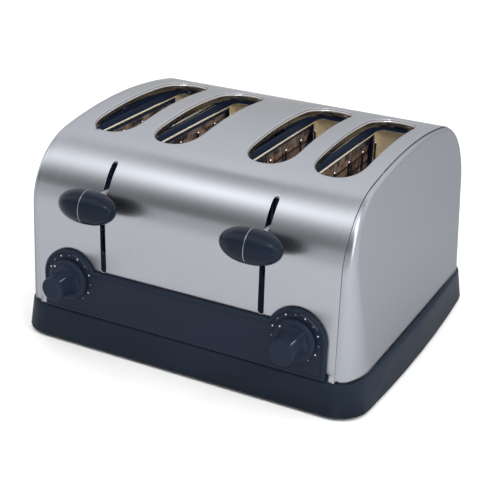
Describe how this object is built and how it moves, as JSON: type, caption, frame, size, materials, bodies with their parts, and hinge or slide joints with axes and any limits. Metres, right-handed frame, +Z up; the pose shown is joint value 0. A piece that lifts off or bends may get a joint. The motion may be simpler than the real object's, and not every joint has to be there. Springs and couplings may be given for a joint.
{
  "type": "toaster",
  "caption": "Wide pop-up toaster in brushed sheet with lipped bread slots on a crowned top, egg-shaped levers, round dials on an arched dark panel, and a moulded base with a slide-out tray.",
  "frame": {"origin": "on the surface the toaster stands on, below the middle of its outline, lever handles and crumb tray pull included", "axes": "+X to the right as seen from the front, -Y out of the front with the levers and dials, +Z up"},
  "size_m": [0.316, 0.3028, 0.179],
  "materials": {
    "brushed_stainless": "fine horizontal brushing, satin",
    "moulded_plastic": "blue-black, satin",
    "gloss_plastic": "blue-black, soft gloss",
    "plated_sheet": "zinc plated, dull",
    "liner_sheet": "bright sheet, tinted by heat",
    "bright_wire": "bright drawn wire",
    "mica": "mica sheet, satin",
    "coil": "wound coil on an iron core",
    "pale_plastic": "pale moulded, dull",
    "rubber": "matte"
  },
  "bodies": {
    "housing": {"base_tray": "moulded_plastic", "bottom_plate": "plated_sheet", "plate_screw_1": "plated_sheet", "plate_screw_2": "plated_sheet", "plate_screw_3": "plated_sheet", "plate_screw_4": "plated_sheet", "foot_front_left": "rubber", "foot_front_right": "rubber", "foot_rear_left": "rubber", "foot_rear_right": "rubber", "wrapper": "brushed_stainless", "left_end_cap": "brushed_stainless", "right_end_cap": "brushed_stainless", "control_panel": "moulded_plastic", "left_timer": "pale_plastic", "right_timer": "pale_plastic", "left_magnet": "coil", "right_magnet": "coil", "left_guide_rod": "bright_wire", "right_guide_rod": "bright_wire", "left_return_spring": "bright_wire", "right_return_spring": "bright_wire", "front_bulkhead": "plated_sheet", "rear_bulkhead": "plated_sheet", "guard_wires_1": "bright_wire", "guard_wires_2": "bright_wire", "guard_wires_3": "bright_wire", "guard_wires_4": "bright_wire", "slot_liner_1": "liner_sheet", "slot_liner_2": "liner_sheet", "slot_liner_3": "liner_sheet", "slot_liner_4": "liner_sheet", "element_card_1": "mica", "element_card_2": "mica", "element_card_3": "mica", "element_card_4": "mica", "element_card_5": "mica", "element_card_6": "mica", "cord_gland": "rubber", "terminal_block": "pale_plastic"},
    "left_lift": {"left_carriage": "plated_sheet", "left_keeper": "plated_sheet", "left_handle_outer": "gloss_plastic", "left_handle_inner": "gloss_plastic", "bread_rack_1": "bright_wire", "bread_rack_2": "bright_wire"},
    "right_lift": {"right_carriage": "plated_sheet", "right_keeper": "plated_sheet", "right_handle_outer": "gloss_plastic", "right_handle_inner": "gloss_plastic", "bread_rack_3": "bright_wire", "bread_rack_4": "bright_wire"},
    "left_dial": {"left_knob": "moulded_plastic", "left_dial_shaft": "plated_sheet"},
    "right_dial": {"right_knob": "moulded_plastic", "right_dial_shaft": "plated_sheet"},
    "crumb_drawer": {"crumb_tray": "plated_sheet"}
  },
  "joints": [
    {"name": "left_lift_slide", "type": "slide", "parent": "housing", "child": "left_lift", "axis": [0, 0, 1], "range_m": [-0.055, 0.015], "stiffness_N_per_m": 110, "springref_m": 0.0103, "deforming": ["left_return_spring"]},
    {"name": "right_lift_slide", "type": "slide", "parent": "housing", "child": "right_lift", "axis": [0, 0, 1], "range_m": [-0.055, 0.015], "stiffness_N_per_m": 110, "springref_m": 0.0103, "deforming": ["right_return_spring"]},
    {"name": "left_dial_turn", "type": "hinge", "parent": "housing", "child": "left_dial", "pos_m": [-0.1006, -0.1225, 0.0602], "axis": [0, 1, 0], "range_deg": [-48, 192]},
    {"name": "right_dial_turn", "type": "hinge", "parent": "housing", "child": "right_dial", "pos_m": [0.1006, -0.1225, 0.0602], "axis": [0, 1, 0], "range_deg": [-48, 192]},
    {"name": "crumb_drawer_slide", "type": "slide", "parent": "housing", "child": "crumb_drawer", "axis": [0, 1, 0], "range_m": [0, 0.19]}
  ]
}
